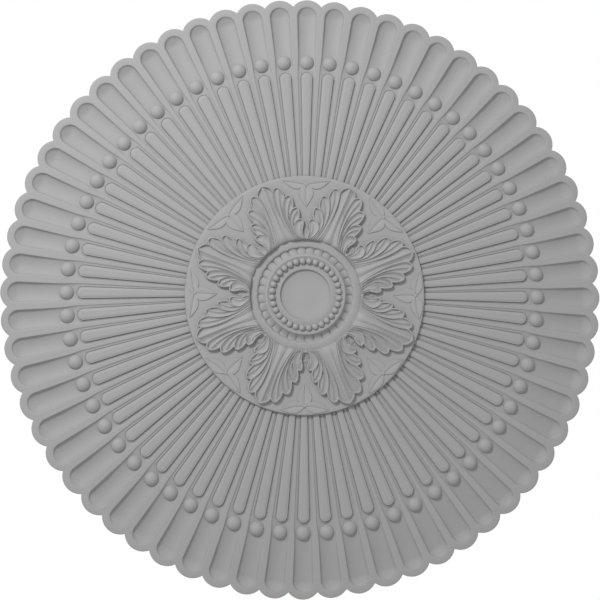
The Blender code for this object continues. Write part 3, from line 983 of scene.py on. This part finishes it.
def eye_dish(sizes, height):
    """Points and faces of the shallow dish in an eye, open on its outward side."""
    half = math.pi / sizes.leaves
    share = np.linspace(0.0, DISH_REACH, DISH_RINGS + 1)[1:, None]
    around = 2 * math.pi * np.arange(DISH_SPOKES + 1)[None, :] / DISH_SPOKES
    closed = smooth_step(*DISH_OPEN, np.cos(around))
    rise = sizes.dish_floor + sizes.dish_rise * share**DISH_POWER * closed
    along = sizes.eye_ring + sizes.eye_radius * share * np.cos(around)
    aside = sizes.eye_radius * share * np.sin(around)
    x = along * math.cos(half) - aside * math.sin(half)
    y = along * math.sin(half) + aside * math.cos(half)
    net = np.stack(np.broadcast_arrays(x, y, height + rise), axis=-1)
    low = net[-1:].copy()
    low[..., 2] = height - DISH_ROOT
    net = np.concatenate([net, low])
    middle = [sizes.eye_ring * math.cos(half), sizes.eye_ring * math.sin(half)]
    ends = [middle + [height + sizes.dish_floor], middle + [height - DISH_ROOT]]
    points = np.concatenate([net.reshape(-1, 3), ends])
    faces = grid_quads(*net.shape[:2]).tolist()
    last, row = len(points) - 2, net.shape[1]
    end = row * (net.shape[0] - 1)
    faces += [[last, k, k + 1] for k in range(DISH_SPOKES)]
    faces += [[last + 1, end + k + 1, end + k] for k in range(DISH_SPOKES)]
    return points, faces


class ROSE_OT_leaves(Operator):
    """Model the acanthus leaves with their lobes, ridges, ribs and eyes"""

    bl_idname = "rose.leaves"
    bl_label = "Acanthus Leaves"

    def execute(self, context):
        sizes, disc = context.scene.rose_leaf, context.scene.rose_disc
        nets, edge = half_leaf(sizes)
        low, foot, root = SKIRT_STEPS
        rings = ((low, sizes.edge - SKIRT_ROUND), (foot, 0.0), (root, -LEAF_ROOT))
        nets += [skirt(edge, rings), leaf_base_wall(sizes, nets, -LEAF_ROOT)]
        faces, count = [], 0
        for net in nets:
            faces += grid_quads(*net.shape[:2], count).tolist()
            count += net.shape[0] * net.shape[1]
        wall = nets[-1].shape[1]
        skirt_end = count - 2 * wall
        outer = list(range(skirt_end - len(edge), skirt_end))
        inner = list(range(skirt_end, skirt_end + wall))
        faces += zipped(outer, inner)
        points = np.concatenate([net.reshape(-1, 3) for net in nets])
        points[:, 2] += disc.height
        other = [[corner + count for corner in reversed(face)] for face in faces]
        points = np.concatenate([points, points * (1.0, -1.0, 1.0)])
        dish, dish_faces = eye_dish(sizes, disc.height)
        faces = faces + other + [[corner + 2 * count for corner in face] for face in dish_faces]
        made = mesh_object("acanthus_leaves", np.concatenate([points, dish]), faces)
        repeat_round(made, sizes.leaves, math.pi / sizes.leaves)
        finish_piece(made, crease=38)
        return {"FINISHED"}


def zipped(left, right):
    """Triangles between two rows of corners that run the same way."""
    faces, low, high = [], 0, 0
    last_low, last_high = len(left) - 1, len(right) - 1
    while low < last_low or high < last_high:
        if high == last_high or (low < last_low and (low + 1) * last_high <= (high + 1) * last_low):
            faces.append([left[low], left[low + 1], right[high]])
            low += 1
        else:
            faces.append([left[low], right[high + 1], right[high]])
            high += 1
    return faces


# Sprigs


# Shares of the way along and across a blade, at which its net has points, and its section
BLADE_ALONG = np.concatenate([np.linspace(0.0, 0.9, 15), [0.94, 0.97, 1.0]])[:, None]
BLADE_HALF = [0.07, 0.16, 0.5, 0.84, 0.93, 1.0]
BLADE_ACROSS = np.array([[-part for part in reversed(BLADE_HALF)] + [0.0] + BLADE_HALF])
BLADE_HEIGHTS = ((0.0, 0.16, 0.84, 0.93, 1.0), (0.25, 0.85, 1.0, 0.95, -0.4))

# Least share of its height that a blade keeps at its ends, and how fast it gains the rest
BLADE_END = 0.45
BLADE_GAIN = 2
BLADE_CLEARANCE = 0.0001

# How the middle and the side blades swell along their way, and how the side ones stand and bend
MIDDLE_SWELL = 0.66
SIDE_SWELL = 0.8
SIDE_SWING = math.radians(12.0)
SIDE_BEND = 0.0005
SIDE_MARGIN = 0.003


def blade(sizes, disc, tip_at, half_width, bend, swell_power):
    """A pointed blade from the knot to its tip, with a midrib and a low edge all round."""
    u, v = BLADE_ALONG, BLADE_ACROSS
    knot = np.array([sizes.node_radius, 0.0])
    run = np.array(tip_at) - knot
    ahead = run / np.linalg.norm(run)
    aside = np.array([-ahead[1], ahead[0]])
    swell = np.sin(math.pi * u**swell_power) ** 1.1
    middle = knot + run * u + aside * bend * np.sin(math.pi * u)
    plan = middle[:, None, :] + aside * (half_width * swell * v)[..., None]
    limit = disc.radius - disc.edge_round - BLADE_CLEARANCE
    plan = plan * np.minimum(1.0, limit / np.linalg.norm(plan, axis=-1, keepdims=True))
    heights = sizes.rise * np.interp(np.abs(v), *BLADE_HEIGHTS) + 0 * u
    gain = np.minimum(1.0, BLADE_END + BLADE_GAIN * swell)
    heights = np.where(heights > 0, heights * gain, heights)
    net = np.concatenate([plan, heights[..., None] + disc.height], axis=-1)
    return net.reshape(-1, 3), grid_quads(*net.shape[:2])


class ROSE_OT_sprigs(Operator):
    """Model the low sprigs of three blades between the leaves' tips"""

    bl_idname = "rose.sprigs"
    bl_label = "Sprigs"

    def execute(self, context):
        sizes, disc = context.scene.rose_sprig, context.scene.rose_disc
        far = disc.radius - SIDE_MARGIN
        tip_at = (sizes.node_radius - sizes.blade, 0.0)
        blades = [blade(sizes, disc, tip_at, sizes.half_width, 0.0, MIDDLE_SWELL)]
        for side in (1, -1):
            tip_at = (far * math.cos(SIDE_SWING), side * far * math.sin(SIDE_SWING))
            bend = side * SIDE_BEND
            blades.append(blade(sizes, disc, tip_at, sizes.side_half_width, bend, SIDE_SWELL))
        step = len(blades[0][0])
        faces = np.concatenate([quads + index * step for index, (_, quads) in enumerate(blades)])
        points = np.concatenate([points for points, _ in blades])
        made = mesh_object("sprigs", points, faces.tolist())
        knot = bead("sprig_knot", sizes.node_size, sink=0.0, segments=12, rings=8, rise=0.8)
        place_points(knot, points_of(knot) + (sizes.node_radius, 0.0, disc.height))
        deselect_all()
        knot.select_set(True)
        made.select_set(True)
        bpy.context.view_layer.objects.active = made
        bpy.ops.object.join()
        repeat_round(made, context.scene.rose_leaf.leaves)
        finish_piece(made, crease=30)
        return {"FINISHED"}


# Centre ring


# How deep the ring reaches into the disc's recess, and the rounding of its edges
RING_ROOT = 0.005
RING_ROUND = 0.0005
COVE_POINTS = 17
STEPS_PER_TONGUE = 16

# How steeply the cove falls from the band and climbs to the bed, and how sharp the notches are
COVE_FALL = 0.8
COVE_CLIMB = 1.7
NOTCH_POWER = 1.8

# Depth below the cove from which points belong to the ring's underside, and how round a tongue is
UNDERSIDE = 0.002
TONGUE_ROUND = 0.99


class ROSE_OT_centre_ring(Operator):
    """Model the smooth band, the cove of tongues, the bed, the fillet and the flat centre"""

    bl_idname = "rose.centre_ring"
    bl_label = "Centre Ring"

    def execute(self, context):
        sizes, disc = context.scene.rose_centre, context.scene.rose_disc
        made = section_loop("centre_ring", self.section(sizes, disc.height))
        spin_loop(STEPS_PER_TONGUE * sizes.tongues)
        self.carve_tongues(made, sizes)
        finish_piece(made, crease=30)
        return {"FINISHED"}

    def section(self, sizes, ground):
        """The ring's section, from below its rim inwards over its top to the axis."""
        root = ground - RING_ROOT
        soft = RING_ROUND
        band, bed = sizes.band_height, sizes.bed_height
        fillet, centre = sizes.fillet_height, sizes.centre_height
        cove = []
        for part in np.linspace(0.0, 1.0, COVE_POINTS + 2)[1:-1]:
            radius = sizes.band_inner - part * (sizes.band_inner - sizes.bed_outer)
            cove.append((radius, self.cove(sizes, part)))
        return [
            (0.0, root),
            (sizes.band_outer + 0.8 * soft, root),
            (sizes.band_outer + 0.6 * soft, ground),
            (sizes.band_outer, band - 0.2 * soft),
            (sizes.band_outer - soft, band),
            (sizes.band_inner + 4.4 * soft, band),
            (sizes.band_inner + 1.2 * soft, band),
            (sizes.band_inner, band - 0.4 * soft),
            *cove,
            (sizes.bed_outer, bed - 0.4 * soft),
            (sizes.bed_outer - soft, bed),
            (sizes.bed_inner, bed),
            (sizes.bed_inner - soft, bed - 0.6 * soft),
            (sizes.bead_ring, bed - 2.8 * soft),
            (sizes.fillet_outer + soft, fillet - 0.2 * soft),
            (sizes.fillet_outer, fillet),
            (sizes.centre_edge + soft, fillet),
            (sizes.centre_edge, fillet - 0.6 * soft),
            (sizes.centre_radius, centre + 0.4 * soft),
            (sizes.centre_radius - 0.8 * soft, centre),
            (0.47 * sizes.centre_radius, centre),
            (0.0, centre),
        ]

    def cove(self, sizes, part):
        """Height of the cove, from the band inwards to the bed's edge."""
        radius = sizes.band_inner - part * (sizes.band_inner - sizes.bed_outer)
        fall = sizes.band_height - sizes.cove_height
        step = smooth_step(sizes.band_inner - sizes.step_width, sizes.band_inner, radius)
        rise = np.clip((sizes.cove_radius - radius) / (sizes.cove_radius - sizes.bed_outer), 0, 1)
        climb = sizes.bed_height - sizes.cove_height - 0.8 * RING_ROUND
        risen = fall * float(step) ** COVE_FALL + climb * float(rise) ** COVE_CLIMB
        return sizes.cove_height + risen

    def carve_tongues(self, made, sizes):
        """Draws the band in and cuts a crevice between the tongues."""
        places = points_of(made)
        radius = np.hypot(places[:, 0], places[:, 1])
        angle = np.arctan2(places[:, 1], places[:, 0])
        part = np.abs((angle * sizes.tongues / (2 * math.pi) + 0.5) % 1.0 - 0.5) * 2
        valley = 1.0 - np.sqrt(1.0 - (1.0 - part) ** 2 * TONGUE_ROUND)
        on_top = places[:, 2] > sizes.cove_height - UNDERSIDE
        band, bed, soft = sizes.band_inner, sizes.bed_outer, RING_ROUND
        drawn = smooth_step(sizes.cove_radius, band - 0.4 * soft, radius)
        drawn = drawn * (1 - smooth_step(band + 1.2 * soft, band + 5.2 * soft, radius))
        inward = sizes.notch * (1.0 - part) ** NOTCH_POWER * drawn * on_top
        depth = smooth_step(bed + 0.6 * soft, bed + 8 * soft, radius)
        depth = depth * (1 - smooth_step(band - 2.4 * soft, band, radius))
        places[:, :2] *= ((radius - inward) / np.maximum(radius, 1e-9))[:, None]
        places[:, 2] -= sizes.crevice * valley * depth * on_top
        place_points(made, places)


class ROSE_OT_small_beads(Operator):
    """Model the ring of small beads round the flat centre"""

    bl_idname = "rose.small_beads"
    bl_label = "Small Beads"

    def execute(self, context):
        sizes = context.scene.rose_centre
        top = -CAD_BOX[0][2]
        made = bead("small_beads", sizes.bead_radius, sink=0.002, segments=20, rings=14)
        shift = (sizes.bead_ring, 0.0, top - sizes.bead_radius)
        place_points(made, points_of(made) + shift)
        repeat_round(made, sizes.tongues, math.pi / sizes.tongues)
        finish_piece(made)
        return {"FINISHED"}


# Finish


def add_node(nodes, kind, place, values=()):
    """Adds a node at a place in the editor and sets its inputs, given as names and values."""
    node = nodes.new(kind)
    node.location = place
    for name, value in dict(values).items():
        node.inputs[name].default_value = value
    return node


def spread_noise(nodes, place, low, high):
    """A node that spreads the middle of a noise over the range from low to high."""
    values = {"From Min": 0.3, "From Max": 0.7, "To Min": low, "To Max": high}
    return add_node(nodes, "ShaderNodeMapRange", place, values)


def wire(tree, *rows):
    """Links sockets. Each row has a node, its output, another node and its input."""
    for source, output, target, entry in rows:
        tree.links.new(source.outputs[output], target.inputs[entry])


def surface_grain():
    """Node group for the grain of a primed casting: a shade, a roughness shift and a height."""
    known = bpy.data.node_groups.get("surface_grain")
    if known:
        return known
    group = bpy.data.node_groups.new("surface_grain", "ShaderNodeTree")
    sockets = group.interface
    sockets.new_socket("Vector", in_out="INPUT", socket_type="NodeSocketVector")
    grain = sockets.new_socket("Grain", in_out="INPUT", socket_type="NodeSocketFloat")
    grain.default_value = 800.0
    for name in ("Shade", "Gloss", "Height"):
        sockets.new_socket(name, in_out="OUTPUT", socket_type="NodeSocketFloat")
    nodes = group.nodes
    inputs = add_node(nodes, "NodeGroupInput", (-700, 0))
    outputs = add_node(nodes, "NodeGroupOutput", (500, 0))
    fine_values = {"Detail": 4.0, "Roughness": 0.6}
    fine = add_node(nodes, "ShaderNodeTexNoise", (-450, 150), fine_values)
    broad_values = {"Scale": 9.0, "Detail": 3.0}
    broad = add_node(nodes, "ShaderNodeTexNoise", (-450, -150), broad_values)
    shade = spread_noise(nodes, (-150, 100), 0.985, 1.015)
    gloss = spread_noise(nodes, (-150, -200), -0.05, 0.05)
    wire(
        group,
        (inputs, "Vector", fine, "Vector"),
        (inputs, "Grain", fine, "Scale"),
        (inputs, "Vector", broad, "Vector"),
        (broad, "Fac", shade, "Value"),
        (fine, "Fac", gloss, "Value"),
        (shade, "Result", outputs, "Shade"),
        (gloss, "Result", outputs, "Gloss"),
        (fine, "Fac", outputs, "Height"),
    )
    return group


def rose_finish():
    """Matt primer on a moulded casting."""
    known = bpy.data.materials.get("primed_moulding")
    if known:
        return known
    finish = bpy.context.scene.rose_finish
    material = bpy.data.materials.new("primed_moulding")
    material.use_nodes = True
    nodes = material.node_tree.nodes
    shader = nodes["Principled BSDF"]
    shader.inputs["Metallic"].default_value = 0.0
    shader.inputs["Specular IOR Level"].default_value = 0.35
    place = add_node(nodes, "ShaderNodeTexCoord", (-1100, 0))
    grain = add_node(nodes, "ShaderNodeGroup", (-850, 0))
    grain.node_tree = surface_grain()
    grain.inputs["Grain"].default_value = 1.0 / finish.grain
    tint = add_node(nodes, "ShaderNodeMix", (-500, 150))
    tint.data_type = "RGBA"
    tint.blend_type = "MULTIPLY"
    tint.inputs["Factor"].default_value = 1.0
    tint.inputs["A"].default_value = finish.colour
    rough = add_node(nodes, "ShaderNodeMath", (-500, -100))
    rough.operation = "ADD"
    rough.inputs[1].default_value = finish.roughness
    bump_values = {"Strength": 1.0, "Distance": finish.grain_height}
    bump = add_node(nodes, "ShaderNodeBump", (-250, -250), bump_values)
    wire(
        material.node_tree,
        (place, "Object", grain, "Vector"),
        (grain, "Shade", tint, "B"),
        (tint, "Result", shader, "Base Color"),
        (grain, "Gloss", rough, 0),
        (rough, "Value", shader, "Roughness"),
        (grain, "Height", bump, "Height"),
        (bump, "Normal", shader, "Normal"),
    )
    return material


# Studio


# The image's size in pixels, and the pixel that the camera's axis goes through
IMAGE_SIZE = 600
IMAGE_CENTRE = (305.37, 294.7)
TARGET_HEIGHT = -0.020

KEY_SIDE = math.radians(128.0)
KEY_RISE = math.radians(47.0)
KEY_DISTANCE = 1.9
KEY_SIZE = 0.34
FLOOR_SIZE = 9.0
FLOOR_COLOUR = (0.8, 0.8, 0.8, 1.0)
FLOOR_ROUGHNESS = 0.9


def below(side, tilt):
    """Direction from the rose down to the viewer, turned over with the rose."""
    up = Vector((math.cos(side) * math.sin(tilt), math.sin(side) * math.sin(tilt), math.cos(tilt)))
    return Vector((up.x, -up.y, -up.z))


class ROSE_OT_studio(Operator):
    """Set up the camera below the rose, the soft lights and the pale floor"""

    bl_idname = "rose.studio"
    bl_label = "Studio"

    def execute(self, context):
        scene, studio = context.scene, context.scene.rose_studio
        scene.view_settings.view_transform = "Standard"
        scene.view_settings.look = "None"
        self.add_camera(scene, studio)
        self.add_lights(scene, studio)
        self.add_floor(studio)
        return {"FINISHED"}

    def add_camera(self, scene, studio):
        lens = bpy.data.cameras.new("camera")
        camera = bpy.data.objects.new("camera", lens)
        scene.collection.objects.link(camera)
        scene.camera = camera
        lens.angle = studio.view_angle
        lens.shift_x = (IMAGE_SIZE / 2 - IMAGE_CENTRE[0]) / IMAGE_SIZE
        lens.shift_y = (IMAGE_CENTRE[1] - IMAGE_SIZE / 2) / IMAGE_SIZE
        back = below(studio.side, studio.tilt)
        target = Vector((0.0, 0.0, TARGET_HEIGHT))
        up = Vector((0.0, -1.0, 0.0))
        up = (up - back * up.dot(back)).normalized()
        right = up.cross(back)
        turn = Matrix((right, up, back)).transposed().to_4x4()
        roll = Matrix.Rotation(studio.roll, 4, "Z")
        camera.matrix_world = Matrix.Translation(target + back * studio.distance) @ turn @ roll

    def add_lights(self, scene, studio):
        world = bpy.data.worlds.new("even_light")
        scene.world = world
        world.use_nodes = True
        sky = world.node_tree.nodes["Background"]
        sky.inputs["Color"].default_value = (1.0, 1.0, 1.0, 1.0)
        sky.inputs["Strength"].default_value = studio.sky
        lamp = bpy.data.lights.new("key_light", "AREA")
        lamp.shape = "DISK"
        lamp.size = KEY_SIZE
        lamp.energy = studio.key_energy
        key = bpy.data.objects.new("key_light", lamp)
        key.visible_camera = False
        scene.collection.objects.link(key)
        towards = below(KEY_SIDE, math.pi / 2 - KEY_RISE)
        key.location = towards * KEY_DISTANCE
        key.rotation_euler = towards.to_track_quat("Z", "Y").to_euler()

    def add_floor(self, studio):
        deselect_all()
        place = (0.0, 0.0, -studio.floor_drop)
        bpy.ops.mesh.primitive_plane_add(size=FLOOR_SIZE, location=place)
        floor = bpy.context.object
        floor.name = "studio_floor"
        material = bpy.data.materials.new("pale_floor")
        material.use_nodes = True
        shader = material.node_tree.nodes["Principled BSDF"]
        shader.inputs["Base Color"].default_value = FLOOR_COLOUR
        shader.inputs["Roughness"].default_value = FLOOR_ROUGHNESS
        floor.data.materials.append(material)


class ROSE_PT_panel(Panel):
    """Lists the pieces of the ceiling rose."""

    bl_idname = "ROSE_PT_panel"
    bl_label = "Ceiling Rose"
    bl_space_type = "VIEW_3D"
    bl_region_type = "UI"
    bl_category = "Ceiling Rose"

    def draw(self, context):
        layout = self.layout
        for operator in OPERATORS:
            layout.operator(operator.bl_idname)
        for name, kind in GROUPS:
            box = layout.box()
            for field in kind.__annotations__:
                box.prop(getattr(context.scene, name), field)


GROUPS = (
    ("rose_field", FieldSizes),
    ("rose_reed", ReedSizes),
    ("rose_bead", BeadSizes),
    ("rose_disc", DiscSizes),
    ("rose_leaf", LeafSizes),
    ("rose_sprig", SprigSizes),
    ("rose_centre", CentreSizes),
    ("rose_finish", FinishSettings),
    ("rose_studio", StudioSettings),
)
OPERATORS = (
    ROSE_OT_fluted_field,
    ROSE_OT_reeds,
    ROSE_OT_flute_beads,
    ROSE_OT_disc,
    ROSE_OT_leaves,
    ROSE_OT_sprigs,
    ROSE_OT_centre_ring,
    ROSE_OT_small_beads,
    ROSE_OT_studio,
)


def register():
    for name, group in GROUPS:
        bpy.utils.register_class(group)
        setattr(bpy.types.Scene, name, PointerProperty(type=group))
    for operator in OPERATORS:
        bpy.utils.register_class(operator)
    bpy.utils.register_class(ROSE_PT_panel)


def unregister():
    bpy.utils.unregister_class(ROSE_PT_panel)
    for operator in OPERATORS:
        bpy.utils.unregister_class(operator)
    for name, group in GROUPS:
        delattr(bpy.types.Scene, name)
        bpy.utils.unregister_class(group)


def main():
    register()
    bpy.ops.rose.fluted_field()
    bpy.ops.rose.reeds()
    bpy.ops.rose.flute_beads()
    bpy.ops.rose.disc()
    bpy.ops.rose.leaves()
    bpy.ops.rose.sprigs()
    bpy.ops.rose.centre_ring()
    bpy.ops.rose.small_beads()
    bpy.ops.rose.studio()


if __name__ == "__main__":
    main()
